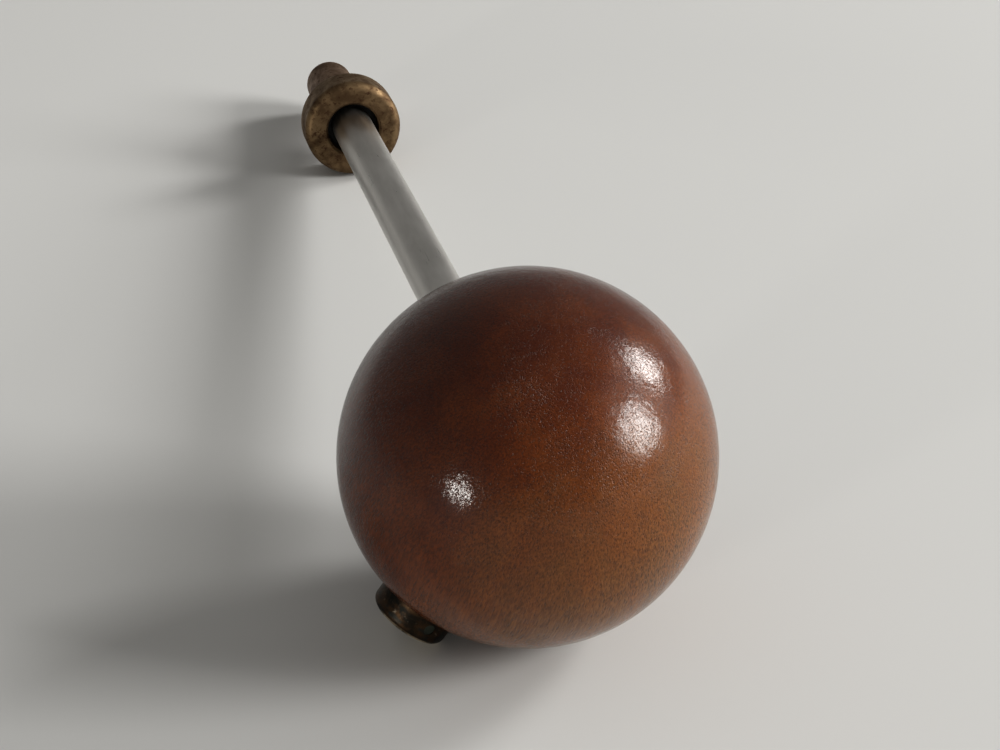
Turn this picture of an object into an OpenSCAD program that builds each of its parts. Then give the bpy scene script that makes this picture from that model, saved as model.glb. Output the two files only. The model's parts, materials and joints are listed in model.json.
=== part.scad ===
// Ball-ended stick: a varnished wooden ball on a metal tube, with a loose brass
// ring and a brass cap at the far end and a brass lock knob in the ball's side.
// It lies on a flat surface and rests on three points: the ball, the ring's rear
// edge and the lock knob's rim. +Y runs from the ball towards the cap.

/* [Ball] */
// Diameter of the wooden ball
ball_d = 64; // [60:1:70]

/* [Tube] */
// Outside diameter of the tube
tube_d = 9.5; // [9:0.1:10]
// Wall thickness of the tube
tube_wall = 1.5; // [1.2:0.1:1.8]
// Length of tube that shows between the ball and the ring
tube_show = 146.7; // [120:0.1:170]
// How far the tube runs on past the ball's centre
tube_inset = 10; // [8:0.5:14]

/* [Ring] */
// Outside diameter of the brass ring
ring_d = 23; // [22:0.2:28]
// Thickness of the brass ring
ring_t = 10.2; // [8:0.2:12]
// Diameter of the hole through the ring
ring_hole_d = 12.4; // [12.2:0.1:13]
// Edge rounding of the ring
ring_round = 2; // [0.8:0.1:2.4]
// Chamfer around the ring's hole
ring_chamfer = 0.5; // [0.2:0.1:0.8]

/* [End cap] */
// Diameter of the end cap
cap_d = 11.5; // [11:0.1:12.2]
// Length of the end cap
cap_len = 30.4; // [24:0.2:34]
// Rounding of the cap's outer end
cap_round = 4; // [3:0.2:5]

/* [Lock knob] */
// Diameter of the lock knob
knob_d = 14; // [12:0.2:15]
// How far the knob's face stands out of the ball
knob_out = 3.9; // [3.5:0.1:5]
// Edge rounding of the knob
knob_round = 1.4; // [0.7:0.1:1.5]
// Diameter of the lock knob's threaded stud
stud_d = 5.9; // [5.8:0.02:5.94]

/* [Hidden] */
$fn = 96;
// Overlap that joins touching solids, and running gap around moving parts
eps = 0.01;
run = 0.05;
// How far a cut runs past a surface, and how far a pin stops below one
over = 1;
pin_short = 0.1;
ball_r = ball_d / 2;
tube_r = tube_d / 2;
tube_bore_r = tube_r - tube_wall;
ring_r = ring_d / 2;
ring_front = ball_r + tube_show;
ring_back = ring_front + ring_t;
cap_r = cap_d / 2;
knob_r = knob_d / 2;
knob_reach = ball_r + knob_out;

// Socket in the ball: a metal sleeve that guides the tube
socket_bore_r = tube_r + run;
socket_wall = 1.2;
socket_r = socket_bore_r + socket_wall;
mouth_step = 0.4;
cushion_t = 2;
socket_floor = tube_inset + cushion_t;
socket_mouth = sqrt(pow(ball_r, 2) - pow(socket_r, 2)) - mouth_step;

// Side bore in the ball: threaded insert, washer seat and lock parts
insert_r = 5;
insert_gap = 1.5;
insert_start = socket_r + insert_gap;
seat_depth = 3;
knob_seat = ball_r - seat_depth;
seat_gap = 0.35;
seat_r = knob_r + seat_gap;
washer_t = 1;
washer_step = 0.6;
washer_r = knob_r - washer_step;
knob_start = knob_seat + washer_t;
stud_r = stud_d / 2;
stud_bore_r = 3;
pad_r = 2.2;
pad_gap = 0.15;
pad_hole_r = pad_r + pad_gap;
pad_t = 2;
pad_back = tube_r + pad_t;
pad_stem_r = 0.95;
pad_stem_end = pad_back + 2.5;
stem_bore_end = pad_stem_end + 0.3;
stud_start = pad_back + 0.02;
stud_end = knob_reach - 2;
slot_w = 1.6;
slot_share = 0.62;
slot_len = slot_share * knob_d;
slot_depth = 1.1;
lock_pin_r = 0.95;
lock_pin_at = knob_reach - 3;
lock_pin_turn = 80;

// Far end: bush, clips and washers around the tube
bush_front = ring_front + 5;
bush_back = ring_back + 0.1;
clip_t = 0.8;
clip_front = bush_front - clip_t - 0.1;
clip_groove = 0.4;
clip_r = ring_hole_d / 2 - 0.4;
clip_gap_w = 2.4;
thrust_front = bush_back + 0.1;
thrust_t = 0.8;
thrust_r = cap_r - 0.5;
tube_end = thrust_front + thrust_t + 0.1;
end_stud_inset = 22;
end_stud_r = tube_bore_r - 0.35;
end_stud_end = tube_end + 14;
cap_bore_r = end_stud_r + run;
cap_bore_end = end_stud_end + 1.5;
cap_end = tube_end + cap_len;
foot_len = 26;
pin_r = 1;
pin_places = [foot_len - tube_inset - 5, tube_end - 4];

// Slope of the tube that lets the ring's rear edge touch the ground
slope_s = ring_back - ring_round;
slope_r = ring_r - ring_round;
tube_slope = asin((ball_r - ring_round) / norm([slope_s, slope_r])) - atan2(slope_r, slope_s);

// Roll of the lock knob that lets its rim touch the ground
rim_q = knob_reach - knob_round;
rim_r = knob_r - knob_round;
knob_lean = atan2(rim_r, rim_q) + acos((ball_r - knob_round) / norm([rim_q, rim_r]));
knob_roll = acos(cos(knob_lean) / cos(tube_slope));

// Shift that puts the origin at the middle of the footprint
y_far = (cap_end - cap_round) * cos(tube_slope) + (cap_r - cap_round) * sin(tube_slope) + cap_round;
y_shift = (ball_r - y_far) / 2;

// Places a part drawn along +Z from the ball's centre onto the sloping tube axis
module on_tube_axis() {
    translate([0, y_shift, ball_r]) rotate([-90 - tube_slope, 0, 0]) children();
}

// Places a part drawn along +Z from the ball's centre onto the lock knob's axis
module on_lock_axis() {
    on_tube_axis() rotate([0, 0, knob_roll]) rotate([-90, 0, 0]) children();
}

// Solid bar between two distances along the axis
module bar(r, from, to) {
    translate([0, 0, from]) cylinder(h = to - from, r = r);
}

// Tube between two distances along the axis
module sleeve(r, bore_r, from, to) {
    difference() {
        bar(r, from, to);
        bar(bore_r, from - over, to + over);
    }
}

// Half section of a disc whose outer edges are rounded
module rounded_section(r, from, to, edge) {
    translate([0, from]) square([r - edge, to - from]);
    translate([0, from + edge]) square([r, to - from - 2 * edge]);
    for (at = [from + edge, to - edge]) {
        translate([r - edge, at]) circle(edge);
    }
}

// Half section of a bar with its outer end rounded
module capped_section(r, from, to, edge) {
    translate([0, from]) square([r, to - from - edge]);
    translate([0, from]) square([r - edge, to - from]);
    intersection() {
        translate([r - edge, to - edge]) circle(edge);
        translate([0, from]) square([r, to - from]);
    }
}

// Cross hole through the lock knob and its stud
module lock_pin_hole() {
    translate([0, 0, lock_pin_at]) rotate([0, 90, lock_pin_turn]) {
        cylinder(h = 2 * knob_d, r = lock_pin_r, center = true);
    }
}

// Cross holes through the tube at the pins that hold its foot and its end stud
module cross_pin_holes() {
    for (at = pin_places) {
        translate([0, 0, at]) rotate([0, 90, 0]) cylinder(h = 2 * tube_d, r = pin_r, center = true);
    }
}

// Cone that breaks the edge of the ring's hole
module hole_chamfer() {
    cylinder(h = ring_chamfer, r1 = ring_hole_d / 2 + ring_chamfer, r2 = ring_hole_d / 2);
}

module wooden_ball() {
    color("saddlebrown") difference() {
        translate([0, y_shift, ball_r]) sphere(ball_r);
        on_tube_axis() bar(socket_r, -socket_floor, ball_r + over);
        on_lock_axis() bar(insert_r, 0, ball_r);
        on_lock_axis() bar(seat_r, knob_seat, ball_r + over);
    }
}

module rod_socket() {
    color("darkgoldenrod") difference() {
        on_tube_axis() sleeve(socket_r, socket_bore_r, -socket_floor, socket_mouth);
        on_lock_axis() bar(pad_hole_r, 0, ball_r);
    }
}

module socket_cushion() {
    color("peru") on_tube_axis() bar(socket_bore_r - run, -socket_floor, -tube_inset - eps);
}

module thread_insert() {
    color("goldenrod") on_lock_axis() sleeve(insert_r, stud_bore_r, insert_start, knob_seat);
}

module pressure_pad() {
    color("gold") on_lock_axis() {
        bar(pad_r, tube_r + run, pad_back);
        bar(pad_stem_r, pad_back - eps, pad_stem_end);
    }
}

module lock_stud() {
    color("silver") on_lock_axis() difference() {
        bar(stud_r, stud_start, stud_end);
        bar(pad_stem_r + run, stud_start - over, stem_bore_end);
        lock_pin_hole();
    }
}

module lock_knob() {
    color("darkkhaki") on_lock_axis() difference() {
        rotate_extrude() rounded_section(knob_r, knob_start, knob_reach, knob_round);
        bar(stud_r, knob_start - over, stud_end);
        lock_pin_hole();
        translate([0, 0, knob_reach]) cube([slot_len, slot_w, 2 * slot_depth], center = true);
    }
}

module lock_pin() {
    color("lightslategray") on_lock_axis() intersection() {
        lock_pin_hole();
        bar(knob_r - pin_short, knob_start, knob_reach);
    }
}

module lock_washer() {
    color("sienna") on_lock_axis() sleeve(washer_r, stud_bore_r, knob_seat, knob_start);
}

module rod_tube() {
    color("silver") on_tube_axis() difference() {
        sleeve(tube_r, tube_bore_r, -tube_inset, tube_end);
        sleeve(tube_r + over, tube_r - clip_groove, clip_front, clip_front + clip_t);
        cross_pin_holes();
    }
}

module rod_foot() {
    color("gray") on_tube_axis() difference() {
        bar(tube_bore_r, -tube_inset, foot_len - tube_inset);
        cross_pin_holes();
    }
}

module end_stud() {
    color("gray") on_tube_axis() difference() {
        union() {
            bar(tube_bore_r, tube_end - end_stud_inset, tube_end);
            bar(end_stud_r, tube_end - over, end_stud_end);
        }
        cross_pin_holes();
    }
}

module cross_pins() {
    color("dimgray") on_tube_axis() intersection() {
        cross_pin_holes();
        bar(tube_r - pin_short, -tube_inset, tube_end);
    }
}

module retaining_clip() {
    color("black") on_tube_axis() difference() {
        sleeve(clip_r, tube_r - clip_groove, clip_front, clip_front + clip_t);
        translate([clip_r, 0, clip_front]) cube([2 * clip_r, clip_gap_w, 2 * clip_t + over], center = true);
    }
}

module brass_ring() {
    color("olive") on_tube_axis() difference() {
        rotate_extrude() rounded_section(ring_r, ring_front, ring_back, ring_round);
        bar(ring_hole_d / 2, ring_front - over, ring_back + over);
        translate([0, 0, ring_front]) hole_chamfer();
        translate([0, 0, ring_back]) mirror([0, 0, 1]) hole_chamfer();
    }
}

module ring_bush() {
    color("black") on_tube_axis() sleeve(ring_hole_d / 2, tube_r + run, bush_front, bush_back);
}

module thrust_washer() {
    color("sienna") on_tube_axis() sleeve(thrust_r, tube_r + run, thrust_front, thrust_front + thrust_t);
}

module end_cap() {
    color("darkkhaki") on_tube_axis() difference() {
        rotate_extrude() capped_section(cap_r, tube_end, cap_end, cap_round);
        bar(cap_bore_r, tube_end - over, cap_bore_end);
    }
}

wooden_ball();
rod_socket();
socket_cushion();
thread_insert();
pressure_pad();
lock_stud();
lock_knob();
lock_pin();
lock_washer();
rod_tube();
rod_foot();
end_stud();
cross_pins();
retaining_clip();
brass_ring();
ring_bush();
thrust_washer();
end_cap();
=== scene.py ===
import json
from math import cos, pi, radians, sin

import bmesh
import bpy
from mathutils import Matrix, Vector, noise


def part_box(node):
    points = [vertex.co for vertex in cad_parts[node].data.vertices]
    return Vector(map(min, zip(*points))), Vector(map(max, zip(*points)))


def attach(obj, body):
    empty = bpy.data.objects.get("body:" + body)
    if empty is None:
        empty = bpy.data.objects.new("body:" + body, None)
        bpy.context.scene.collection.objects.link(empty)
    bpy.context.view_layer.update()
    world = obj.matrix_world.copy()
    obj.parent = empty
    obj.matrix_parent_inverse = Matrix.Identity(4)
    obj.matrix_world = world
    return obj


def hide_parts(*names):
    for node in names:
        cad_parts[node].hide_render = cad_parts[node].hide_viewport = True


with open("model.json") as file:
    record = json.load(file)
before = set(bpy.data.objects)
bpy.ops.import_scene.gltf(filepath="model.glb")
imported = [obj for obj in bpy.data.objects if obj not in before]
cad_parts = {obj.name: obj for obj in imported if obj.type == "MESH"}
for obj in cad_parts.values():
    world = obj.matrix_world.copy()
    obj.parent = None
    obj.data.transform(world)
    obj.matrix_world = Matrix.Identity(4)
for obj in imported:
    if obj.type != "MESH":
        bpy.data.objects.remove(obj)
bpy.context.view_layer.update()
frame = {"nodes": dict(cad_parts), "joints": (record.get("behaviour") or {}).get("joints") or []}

UP = Vector((0, 0, 1))
MM = 0.001

# ---------------------------------------------------------------- places, from the frame


def joint(name):
    """The record's joint of that name."""
    return next(j for j in frame["joints"] if j["name"] == name)


def reach(node, start, axis):
    """How far a CAD node's vertices reach from a point along an axis: (nearest, furthest)."""
    along = [(v.co - start).dot(axis) for v in frame["nodes"][node].data.vertices]
    return min(along), max(along)


def girth(node, start, axis):
    """Largest radius of a CAD node about an axis."""
    return max((v.co - start).cross(axis).length for v in frame["nodes"][node].data.vertices)


BALL_LOW, BALL_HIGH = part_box("wooden_ball")
BALL_R = (BALL_HIGH.z - BALL_LOW.z) / 2
TUBE_AXIS = Vector(joint("stick_slide")["axis"])
LOCK_AXIS = Vector(joint("pad_slide")["axis"])
RING_CENTRE = Vector(joint("ring_spin")["pos_m"])
# The ball's centre is on the tube's axis, where that is one radius above the floor.
BALL_CENTRE = RING_CENTRE + TUBE_AXIS * ((BALL_R - RING_CENTRE.z) / TUBE_AXIS.z)

SOCKET_R = girth("rod_socket", BALL_CENTRE, TUBE_AXIS)
SOCKET_FLOOR = reach("rod_socket", BALL_CENTRE, TUBE_AXIS)[0]
KNOB_R = girth("lock_knob", BALL_CENTRE, LOCK_AXIS)
KNOB_SEAT = reach("lock_washer", BALL_CENTRE, LOCK_AXIS)[0]
KNOB_FACE = reach("lock_knob", BALL_CENTRE, LOCK_AXIS)[1]

# ---------------------------------------------------------------- turned ball

# Steps around and along the ball, and around a bore.
BALL_AROUND = 288
BALL_ALONG = 144
BORE_STEPS = 96
# Low waves left by the lathe, and the margin that keeps them inside the CAD ball.
WAVE_PITCH = 1.6 * MM
WAVE_HEIGHT = 0.010 * MM
WAVE_MARGIN = 0.012 * MM
# Small dents: how many to a radius, how rare, how deep and which part of the noise.
DENTS_PER_RADIUS = 9
DENT_RARITY = 0.35
DENT_DEPTH = 0.10 * MM
DENT_PATTERN = Vector((3, 1, 7))
# The bores: how far the cutters run, the gap around the knob and the broken edge.
BORE_END = BALL_R * 1.2
KNOB_GAP = 0.35 * MM
EDGE_BREAK = 0.15 * MM
SHARP_EDGE = radians(30)

# ---------------------------------------------------------------- colours

# Along the wood's fibres, and from its dark side to its pale side: the dark side is partly heartwood and
# partly painted shade, away from the lights.
GRAIN_AXIS = Vector((0.111, -0.500, 0.859))
PALE_AND_LIT_SIDE = Vector((0.495, -0.690, -0.527))
# Dark end of that gradient: partly dark heartwood colour, partly painted shade.
WOOD_DARK_AND_SHADED = (0.047, 0.0075, 0.0006)
WOOD_RED = (0.102, 0.0205, 0.0016)
WOOD_ORANGE = (0.186, 0.052, 0.0080)
WOOD_BROWN = (0.146, 0.060, 0.0160)
WOOD_PORE = (0.016, 0.005, 0.002)

RING_BRASS = {"bright": (0.215, 0.150, 0.085), "dull": (0.100, 0.064, 0.036), "stain": (0.062, 0.028, 0.017)}
CAP_BRASS = {"bright": (0.215, 0.132, 0.075), "dull": (0.095, 0.054, 0.030), "stain": (0.040, 0.021, 0.013)}
TUBE_DULL = (0.47, 0.455, 0.43)
TUBE_BRIGHT = (0.55, 0.535, 0.51)
KNOB_BLACK = (0.012, 0.012, 0.010)
KNOB_BROWN = (0.060, 0.034, 0.017)
KNOB_BLUE = (0.008, 0.022, 0.026)
KNOB_SPECK = (0.24, 0.20, 0.15)
# Bright rim colour: partly worn brass, partly a painted glint.
KNOB_WORN_AND_GLINT = (0.72, 0.60, 0.42)
BUSH_DARK = (0.006, 0.006, 0.006)
BUSH_GREY = (0.014, 0.013, 0.012)
FIBRE_DARK = (0.10, 0.05, 0.025)
FIBRE_PALE = (0.26, 0.15, 0.07)
STEEL = (0.42, 0.42, 0.41)
TINTED_STEEL = (0.060, 0.068, 0.055)
BRASS = (0.60, 0.44, 0.20)
BLACK_OXIDE = (0.03, 0.03, 0.03)

# ---------------------------------------------------------------- camera

CAMERA_AZIMUTH = radians(12.85)
CAMERA_PITCH = radians(30.97)
CAMERA_DISTANCE = 11.64 * BALL_R
CAMERA_LENS = 80
CAMERA_SENSOR = 36
CAMERA_NEAR = 0.01
AIM_LEFT = 0.144 * BALL_R
AIM_ABOVE = 0.4273 * BALL_R


def add_camera():
    """Looks over the ball and along the tube, from the front left of it and above."""
    flat = Vector((sin(CAMERA_AZIMUTH), cos(CAMERA_AZIMUTH), 0))
    forward = flat * cos(CAMERA_PITCH) - UP * sin(CAMERA_PITCH)
    right = forward.cross(UP).normalized()
    above = right.cross(forward)
    aim = BALL_CENTRE - right * AIM_LEFT + above * AIM_ABOVE
    data = bpy.data.cameras.new("camera")
    data.lens = CAMERA_LENS
    data.sensor_width = CAMERA_SENSOR
    data.clip_start = CAMERA_NEAR
    camera = bpy.data.objects.new("camera", data)
    bpy.context.scene.collection.objects.link(camera)
    axes = Matrix((right, above, -forward)).transposed().to_4x4()
    camera.matrix_world = Matrix.Translation(aim - forward * CAMERA_DISTANCE) @ axes
    bpy.context.scene.camera = camera


# ---------------------------------------------------------------- node helpers


class Paint:
    """A material under construction: a Principled shader and short ways to add nodes."""

    def __init__(self, name):
        self.material = bpy.data.materials.new(name)
        self.material.use_nodes = True
        self.tree = self.material.node_tree
        self.shader = self.tree.nodes["Principled BSDF"]

    def add(self, kind, inputs=(), **settings):
        """Adds a node. inputs maps a socket's name or number to a value or another node's output."""
        node = self.tree.nodes.new(kind)
        for key, value in settings.items():
            setattr(node, key, value)
        for key, value in dict(inputs).items():
            self.feed(node.inputs[key], value)
        return node

    def feed(self, socket, value):
        """Links a node's output to a socket, or writes a plain value into it."""
        if isinstance(value, bpy.types.NodeSocket):
            self.tree.links.new(value, socket)
        elif isinstance(value, tuple) and len(value) == 3 and socket.type == "RGBA":
            socket.default_value = (*value, 1)
        else:
            socket.default_value = value

    def set(self, **inputs):
        """Sets the shader's own sockets, with _ for each space in a name."""
        for key, value in inputs.items():
            self.feed(self.shader.inputs[key.replace("_", " ")], value)

    def place(self, origin, axis, across, along):
        """Coordinates with Z along an axis from an origin, counted in grains of that width and length."""
        inputs = {
            "Vector": self.add("ShaderNodeTexCoord").outputs["Object"],
            "Location": origin,
            "Rotation": axis.to_track_quat("Z", "Y").to_euler(),
            "Scale": Vector((across, across, along)),
        }
        return self.add("ShaderNodeMapping", inputs, vector_type="TEXTURE").outputs[0]

    def noise(self, vector, detail, rough, twist=0.0):
        """Cloudy noise, one cloud to a grain."""
        inputs = {"Vector": vector, "Scale": 1.0, "Detail": detail, "Roughness": rough, "Distortion": twist}
        return self.add("ShaderNodeTexNoise", inputs).outputs["Fac"]

    def cells(self, vector):
        """Distance to the nearest of some scattered points, one to a grain."""
        inputs = {"Vector": vector, "Scale": 1.0, "Randomness": 1.0}
        return self.add("ShaderNodeTexVoronoi", inputs, feature="F1").outputs["Distance"]

    def span(self, value, low, high, out_low=0.0, out_high=1.0):
        """Maps low..high smoothly to out_low..out_high."""
        inputs = {"Value": value, "From Min": low, "From Max": high, "To Min": out_low, "To Max": out_high}
        return self.add("ShaderNodeMapRange", inputs, interpolation_type="SMOOTHSTEP").outputs[0]

    def math(self, operation, a, b):
        """ADD, SUBTRACT, MULTIPLY or MAXIMUM of two numbers."""
        return self.add("ShaderNodeMath", {0: a, 1: b}, operation=operation).outputs[0]

    def mix(self, factor, a, b, blend="MIX"):
        """Colour a, turned into b as far as the factor says."""
        node = self.add("ShaderNodeMix", {"Factor": factor}, data_type="RGBA", blend_type=blend)
        first, second = [s for s in node.inputs if s.type == "RGBA"]
        self.feed(first, a)
        self.feed(second, b)
        return next(s for s in node.outputs if s.type == "RGBA")

    def grey(self, value):
        """A grey of that brightness."""
        return self.add("ShaderNodeCombineColor", {0: value, 1: value, 2: value}).outputs[0]

    def bump(self, height, depth, under=None):
        """Relief of a depth in metres, on top of another bump's normal."""
        inputs = {"Height": height, "Strength": 1.0, "Distance": depth}
        if under is not None:
            inputs["Normal"] = under
        return self.add("ShaderNodeBump", inputs).outputs[0]

    def along(self, vector):
        """The third coordinate of a vector."""
        return self.add("ShaderNodeSeparateXYZ", {0: vector}).outputs["Z"]


def dress(node, paint):
    """Gives a CAD node its finished material."""
    for slot in frame["nodes"][node].material_slots:
        slot.material = paint.material


# ---------------------------------------------------------------- materials


def varnished_wood():
    """Reddish open-pored wood, darker on one side and paler on the other, partly from its heartwood and
    partly painted shade on the side away from the lights; turned on the tube's axis and varnished.
    """
    paint = Paint("varnished_wood")
    heart_and_shade_coords = paint.place(BALL_CENTRE, PALE_AND_LIT_SIDE, BALL_R, BALL_R)
    figure = paint.place(BALL_CENTRE, GRAIN_AXIS, 7 * MM, 34 * MM)
    fibre = paint.place(BALL_CENTRE, GRAIN_AXIS, 0.30 * MM, 4.5 * MM)
    vessel = paint.place(BALL_CENTRE, GRAIN_AXIS, 0.40 * MM, 2.4 * MM)
    small = paint.place(BALL_CENTRE, GRAIN_AXIS, 0.21 * MM, 1.6 * MM)
    turning = paint.place(BALL_CENTRE, TUBE_AXIS, 5 * MM, 0.5 * MM)
    skin = paint.place(BALL_CENTRE, GRAIN_AXIS, 0.45 * MM, 1.1 * MM)
    ripple = paint.place(BALL_CENTRE, GRAIN_AXIS, 1.5 * MM, 3.0 * MM)
    patch = paint.place(BALL_CENTRE, GRAIN_AXIS, 12 * MM, 22 * MM)

    # Colour: dark to red to brown from side to side, partly heartwood and partly painted shade, with orange
    # figure and fine strands.
    cloud = paint.noise(patch, detail=4, rough=0.55, twist=0.3)
    # This level runs from the dark, shaded side to the pale, lit side: partly heartwood, partly painted
    # shade.
    depth = paint.math("ADD", paint.along(heart_and_shade_coords), paint.span(cloud, 0.3, 0.7, -0.12, 0.12))
    wood = paint.mix(paint.span(depth, -0.60, 0.65), WOOD_DARK_AND_SHADED, WOOD_RED)
    wood = paint.mix(paint.span(depth, 0.05, 0.95), wood, WOOD_BROWN)
    bands = paint.span(paint.noise(figure, detail=4, rough=0.6, twist=0.3), 0.36, 0.66)
    pale = paint.math("MULTIPLY", bands, paint.span(depth, -0.7, 0.6, 0.08, 0.38))
    wood = paint.mix(pale, wood, WOOD_ORANGE)
    strands = paint.noise(fibre, detail=3, rough=0.65)
    threads = paint.span(strands, 0.3, 0.7, 0.60, 1.32)
    wood = paint.mix(1.0, wood, paint.grey(threads), "MULTIPLY")

    # Pores: large and small ones, more of them in some patches.
    crowd = paint.span(paint.noise(patch, detail=3, rough=0.5), 0.35, 0.65, 0.24, 0.36)
    wide = paint.span(paint.math("SUBTRACT", crowd, paint.cells(vessel)), -0.05, 0.10)
    fine = paint.span(paint.math("SUBTRACT", crowd, paint.cells(small)), -0.05, 0.12)
    pore = paint.math("MAXIMUM", wide, paint.math("MULTIPLY", fine, 0.6))
    darkening = paint.math("MULTIPLY", pore, paint.span(depth, -0.6, 0.4, 0.64, 0.42))
    colour = paint.mix(darkening, wood, WOOD_PORE)

    # Relief of the wood under the varnish.
    lines = paint.noise(turning, detail=3, rough=0.6)
    peel = paint.noise(skin, detail=3, rough=0.6)
    hollow = paint.math("MULTIPLY", pore, -1.0)
    relief = paint.bump(peel, 0.060 * MM, paint.bump(lines, 0.030 * MM))
    relief = paint.bump(hollow, 0.020 * MM, relief)
    haze = paint.span(cloud, 0.3, 0.7, 0.34, 0.46)
    paint.set(Base_Color=colour, Roughness=haze, Normal=relief, Specular_IOR_Level=0.05)

    # The varnish follows the strands and pores, and has slow ripples of its own.
    coat = paint.bump(paint.noise(ripple, detail=2, rough=0.5), 0.075 * MM, paint.bump(lines, 0.008 * MM))
    coat = paint.bump(strands, 0.024 * MM, paint.bump(peel, 0.013 * MM, coat))
    coat = paint.bump(hollow, 0.044 * MM, coat)
    paint.set(Coat_Weight=0.78, Coat_Roughness=0.115, Coat_IOR=1.45, Coat_Normal=coat)
    return paint


def satin_tube():
    """Drawn metal tube with fine lines along it and faint handling marks."""
    paint = Paint("satin_tube")
    drawn = paint.place(BALL_CENTRE, TUBE_AXIS, 0.16 * MM, 30 * MM)
    marks = paint.place(BALL_CENTRE, TUBE_AXIS, 3 * MM, 14 * MM)
    lines = paint.noise(drawn, detail=3, rough=0.6)
    smudge = paint.span(paint.noise(marks, detail=4, rough=0.6), 0.3, 0.7)
    cloudy = paint.span(smudge, 0, 1, 0.30, 0.38)
    rough = paint.math("ADD", cloudy, paint.span(lines, 0.3, 0.7, -0.03, 0.03))
    paint.set(Base_Color=paint.mix(smudge, TUBE_DULL, TUBE_BRIGHT), Metallic=1.0, Roughness=rough)
    paint.set(Normal=paint.bump(lines, 0.004 * MM))
    return paint


def aged_brass(name, colours, rough):
    """Cast brass gone brown, with stains, a pitted skin and cloudy polish."""
    paint = Paint(name)
    cloud = paint.place(RING_CENTRE, TUBE_AXIS, 5 * MM, 5 * MM)
    spots = paint.place(RING_CENTRE, TUBE_AXIS, 1.1 * MM, 1.1 * MM)
    grain = paint.place(RING_CENTRE, TUBE_AXIS, 0.25 * MM, 0.25 * MM)
    tone = paint.span(paint.noise(cloud, detail=5, rough=0.6, twist=0.4), 0.34, 0.66)
    colour = paint.mix(tone, colours["dull"], colours["bright"])
    blotch = paint.span(paint.noise(spots, detail=4, rough=0.65, twist=0.5), 0.52, 0.70)
    colour = paint.mix(paint.math("MULTIPLY", blotch, 0.8), colour, colours["stain"])
    cloudy = paint.span(tone, 0, 1, rough + 0.12, rough)
    roughness = paint.math("ADD", cloudy, paint.math("MULTIPLY", blotch, 0.15))
    skin = paint.bump(paint.noise(grain, detail=3, rough=0.6), 0.02 * MM)
    skin = paint.bump(paint.noise(spots, detail=3, rough=0.5), 0.05 * MM, skin)
    paint.set(Base_Color=colour, Metallic=1.0, Roughness=roughness, Normal=skin)
    return paint


def plain_metal(name, colour, rough):
    """Turned metal inside the stick: fine turning lines and a slight mottle."""
    paint = Paint(name)
    mottle = paint.place(BALL_CENTRE, TUBE_AXIS, 2 * MM, 2 * MM)
    turned = paint.place(BALL_CENTRE, TUBE_AXIS, 3 * MM, 0.12 * MM)
    tone = paint.span(paint.noise(mottle, detail=4, rough=0.6), 0.3, 0.7, 0.82, 1.0)
    paint.set(Base_Color=paint.mix(tone, (0, 0, 0), colour), Metallic=1.0, Roughness=rough)
    paint.set(Normal=paint.bump(paint.noise(turned, detail=2, rough=0.5), 0.01 * MM))
    return paint


def matt_black():
    """Bush in the ring's hole: near black and matt with a faint grain, which keeps the gap around the tube
    dark.
    """
    paint = Paint("matt_black")
    grain = paint.place(BALL_CENTRE, TUBE_AXIS, 0.3 * MM, 0.3 * MM)
    speck = paint.noise(grain, detail=3, rough=0.6)
    paint.set(Base_Color=paint.mix(speck, BUSH_DARK, BUSH_GREY))
    paint.set(Roughness=0.7, Normal=paint.bump(speck, 0.02 * MM))
    return paint


def fibre():
    """Leather and cork: brown, matt and speckled."""
    paint = Paint("fibre")
    grain = paint.place(BALL_CENTRE, TUBE_AXIS, 0.5 * MM, 0.5 * MM)
    speck = paint.span(paint.noise(grain, detail=4, rough=0.65), 0.35, 0.65)
    paint.set(Base_Color=paint.mix(speck, FIBRE_DARK, FIBRE_PALE))
    paint.set(Roughness=0.85, Normal=paint.bump(speck, 0.05 * MM))
    return paint


def dark_knob():
    """Heat-darkened brass: nearly black with brown and blue-green tints, and a bright rim, partly worn brass
    and partly a painted glint.
    """
    paint = Paint("dark_knob")
    cloud = paint.place(BALL_CENTRE, LOCK_AXIS, 4 * MM, 3 * MM)
    spots = paint.place(BALL_CENTRE, LOCK_AXIS, 0.8 * MM, 0.8 * MM)
    metres = paint.place(BALL_CENTRE, LOCK_AXIS, 1, 1)
    warm = paint.span(paint.noise(cloud, detail=4, rough=0.6, twist=0.5), 0.35, 0.65)
    colour = paint.mix(warm, KNOB_BLACK, KNOB_BROWN)
    tint = paint.span(paint.noise(cloud, detail=2, rough=0.5), 0.56, 0.66)
    colour = paint.mix(paint.math("MULTIPLY", tint, 0.6), colour, KNOB_BLUE)
    speck = paint.span(paint.noise(spots, detail=4, rough=0.7, twist=0.6), 0.62, 0.74)
    colour = paint.mix(speck, colour, KNOB_SPECK)
    # A patchy bright band round the face's rim: partly worn brass, partly a painted glint.
    rim = paint.span(paint.along(metres), KNOB_FACE - 0.8 * MM, KNOB_FACE - 0.3 * MM)
    patchy = paint.span(paint.noise(cloud, detail=3, rough=0.6), 0.40, 0.60)
    worn_and_glint = paint.math("MULTIPLY", rim, patchy)
    colour = paint.mix(worn_and_glint, colour, KNOB_WORN_AND_GLINT)
    rough = paint.span(worn_and_glint, 0, 1, 0.42, 0.22)
    skin = paint.bump(paint.noise(spots, detail=4, rough=0.6), 0.06 * MM)
    paint.set(Base_Color=colour, Metallic=0.9, Roughness=rough, Normal=skin)
    return paint


# ---------------------------------------------------------------- pieces


def along_axis(axis):
    """Turns a shape made along Z to lie along an axis from the ball's centre."""
    return Matrix.Translation(BALL_CENTRE) @ axis.to_track_quat("Z", "Y").to_matrix().to_4x4()


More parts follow.
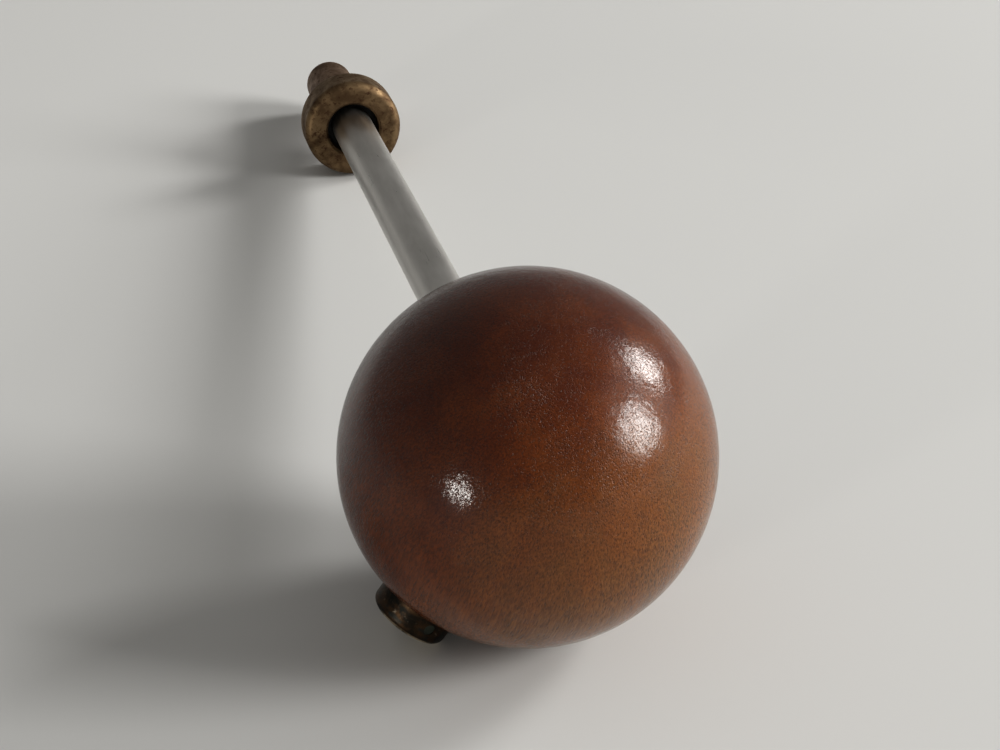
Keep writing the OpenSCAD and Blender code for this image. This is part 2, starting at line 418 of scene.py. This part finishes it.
def bore_cutter(radius, start, axis):
    """A round plug from a start along an axis, wider outside the ball's skin to break the bore's edge."""
    mesh = bpy.data.meshes.new("cutter")
    form = bmesh.new()
    skin = (BALL_R**2 - radius**2) ** 0.5
    wide = radius + 2 * EDGE_BREAK
    profile = [(radius, start), (radius, skin - EDGE_BREAK), (wide, skin + EDGE_BREAK), (wide, BORE_END)]
    turns = [2 * pi * k / BORE_STEPS for k in range(BORE_STEPS)]
    rings = [[form.verts.new((r * cos(t), r * sin(t), at)) for t in turns] for r, at in profile]
    for low, high in zip(rings, rings[1:]):
        for k in range(BORE_STEPS):
            after = (k + 1) % BORE_STEPS
            form.faces.new((low[k], low[after], high[after], high[k]))
    form.faces.new(list(reversed(rings[0])))
    form.faces.new(rings[-1])
    form.to_mesh(mesh)
    form.free()
    cutter = bpy.data.objects.new("cutter", mesh)
    bpy.context.scene.collection.objects.link(cutter)
    cutter.matrix_world = along_axis(axis)
    return cutter


def bore(target, radius, start, axis):
    """Bores a round hole into the ball from its skin down to a start on an axis."""
    cutter = bore_cutter(radius, start, axis)
    modifier = target.modifiers.new("cut", "BOOLEAN")
    modifier.operation = "DIFFERENCE"
    modifier.solver = "EXACT"
    modifier.object = cutter
    bpy.context.view_layer.update()
    cut_ball = target.evaluated_get(bpy.context.evaluated_depsgraph_get())
    shape = bpy.data.meshes.new_from_object(cut_ball)
    target.modifiers.clear()
    target.data = shape
    bpy.data.objects.remove(cutter)


def turned_ball(paint):
    """The ball as turned by hand: a fine mesh with low lathe waves and small dents, and its two bores."""
    mesh = bpy.data.meshes.new("turned_ball")
    form = bmesh.new()
    bmesh.ops.create_uvsphere(form, u_segments=BALL_AROUND, v_segments=BALL_ALONG, radius=BALL_R)
    for vertex in form.verts:
        way = vertex.co.normalized()
        wave = noise.noise(Vector((0, 0, vertex.co.z / WAVE_PITCH))) * WAVE_HEIGHT
        dent = max(0.0, noise.noise(way * DENTS_PER_RADIUS + DENT_PATTERN) - DENT_RARITY) * DENT_DEPTH
        vertex.co = way * (BALL_R - WAVE_MARGIN + wave - dent)
    for face in form.faces:
        face.smooth = True
    form.to_mesh(mesh)
    form.free()
    ball = bpy.data.objects.new("turned_ball", mesh)
    bpy.context.scene.collection.objects.link(ball)
    mesh.transform(along_axis(TUBE_AXIS))
    bore(ball, SOCKET_R, SOCKET_FLOOR, TUBE_AXIS)
    bore(ball, KNOB_R + KNOB_GAP, KNOB_SEAT, LOCK_AXIS)
    ball.data.materials.clear()
    ball.data.materials.append(paint.material)
    ball.data.set_sharp_from_angle(angle=SHARP_EDGE)
    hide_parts("wooden_ball")
    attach(ball, "ball")


# ---------------------------------------------------------------- studio

FLOOR_HALF = 3.0
FLOOR_COLOUR = (0.61, 0.61, 0.60)
ROOM_COLOUR = (1.0, 0.985, 0.95, 1)
ROOM_STRENGTH = 0.25
DAYLIGHT = (1, 0.99, 0.97)
WALL_LIGHT = (1, 0.98, 0.96)
LAMP_LIGHT = (1, 0.97, 0.92)


def add_floor():
    """A large pale sheet that the stick lies on."""
    mesh = bpy.data.meshes.new("floor")
    low, high = -FLOOR_HALF, FLOOR_HALF
    corners = [(low, low, 0), (high, low, 0), (high, high, 0), (low, high, 0)]
    mesh.from_pydata(corners, [], [(0, 1, 2, 3)])
    floor = bpy.data.objects.new("floor", mesh)
    bpy.context.scene.collection.objects.link(floor)
    paint = Paint("floor_paper")
    paint.set(Base_Color=FLOOR_COLOUR, Roughness=0.9, Specular_IOR_Level=0.1)
    mesh.materials.append(paint.material)


def add_room():
    """Faint even light from all around."""
    world = bpy.data.worlds.new("room")
    world.use_nodes = True
    background = world.node_tree.nodes["Background"]
    background.inputs["Color"].default_value = ROOM_COLOUR
    background.inputs["Strength"].default_value = ROOM_STRENGTH
    bpy.context.scene.world = world


def add_area(name, colour, direction, distance, size, power):
    """An area light that faces the ball from a direction. Metres and watts."""
    data = bpy.data.lights.new(name, "AREA")
    data.shape = "RECTANGLE"
    data.size, data.size_y = size
    data.energy = power
    data.color = colour
    light = bpy.data.objects.new(name, data)
    bpy.context.scene.collection.objects.link(light)
    towards = Vector(direction).normalized()
    light.location = BALL_CENTRE + towards * distance
    light.rotation_euler = towards.to_track_quat("Z", "Y").to_euler()


def add_lights():
    """Two windows and a pale wall on the right, and a small lamp low on the left."""
    add_area("window_back", DAYLIGHT, (0.862, 0.240, 0.447), distance=2.6, size=(0.60, 0.72), power=32)
    add_area("window_front", DAYLIGHT, (0.860, -0.348, 0.378), distance=2.6, size=(0.84, 0.92), power=56)
    add_area("wall_right", WALL_LIGHT, (0.905, -0.06, 0.42), distance=2.7, size=(1.6, 2.0), power=9)
    add_area("lamp_left", LAMP_LIGHT, (-0.785, -0.608, 0.111), distance=1.8, size=(0.16, 0.12), power=6)


# ---------------------------------------------------------------- build

add_camera()
turned_ball(varnished_wood())
dress("rod_tube", satin_tube())
dress("brass_ring", aged_brass("ring_brass", RING_BRASS, rough=0.52))
dress("end_cap", aged_brass("cap_brass", CAP_BRASS, rough=0.46))
dress("lock_knob", dark_knob())
dress("lock_pin", plain_metal("tinted_steel", TINTED_STEEL, rough=0.5))
dress("retaining_clip", plain_metal("black_oxide", BLACK_OXIDE, rough=0.5))
dress("ring_bush", matt_black())
steel = plain_metal("turned_steel", STEEL, rough=0.35)
for name in ("lock_stud", "rod_foot", "end_stud", "cross_pins"):
    dress(name, steel)
brass = plain_metal("turned_brass", BRASS, rough=0.32)
for name in ("rod_socket", "thread_insert", "pressure_pad"):
    dress(name, brass)
soft = fibre()
for name in ("socket_cushion", "lock_washer", "thrust_washer"):
    dress(name, soft)
add_floor()
add_room()
add_lights()
bpy.context.scene.view_settings.view_transform = "Standard"
bpy.context.scene.view_settings.look = "Medium High Contrast"
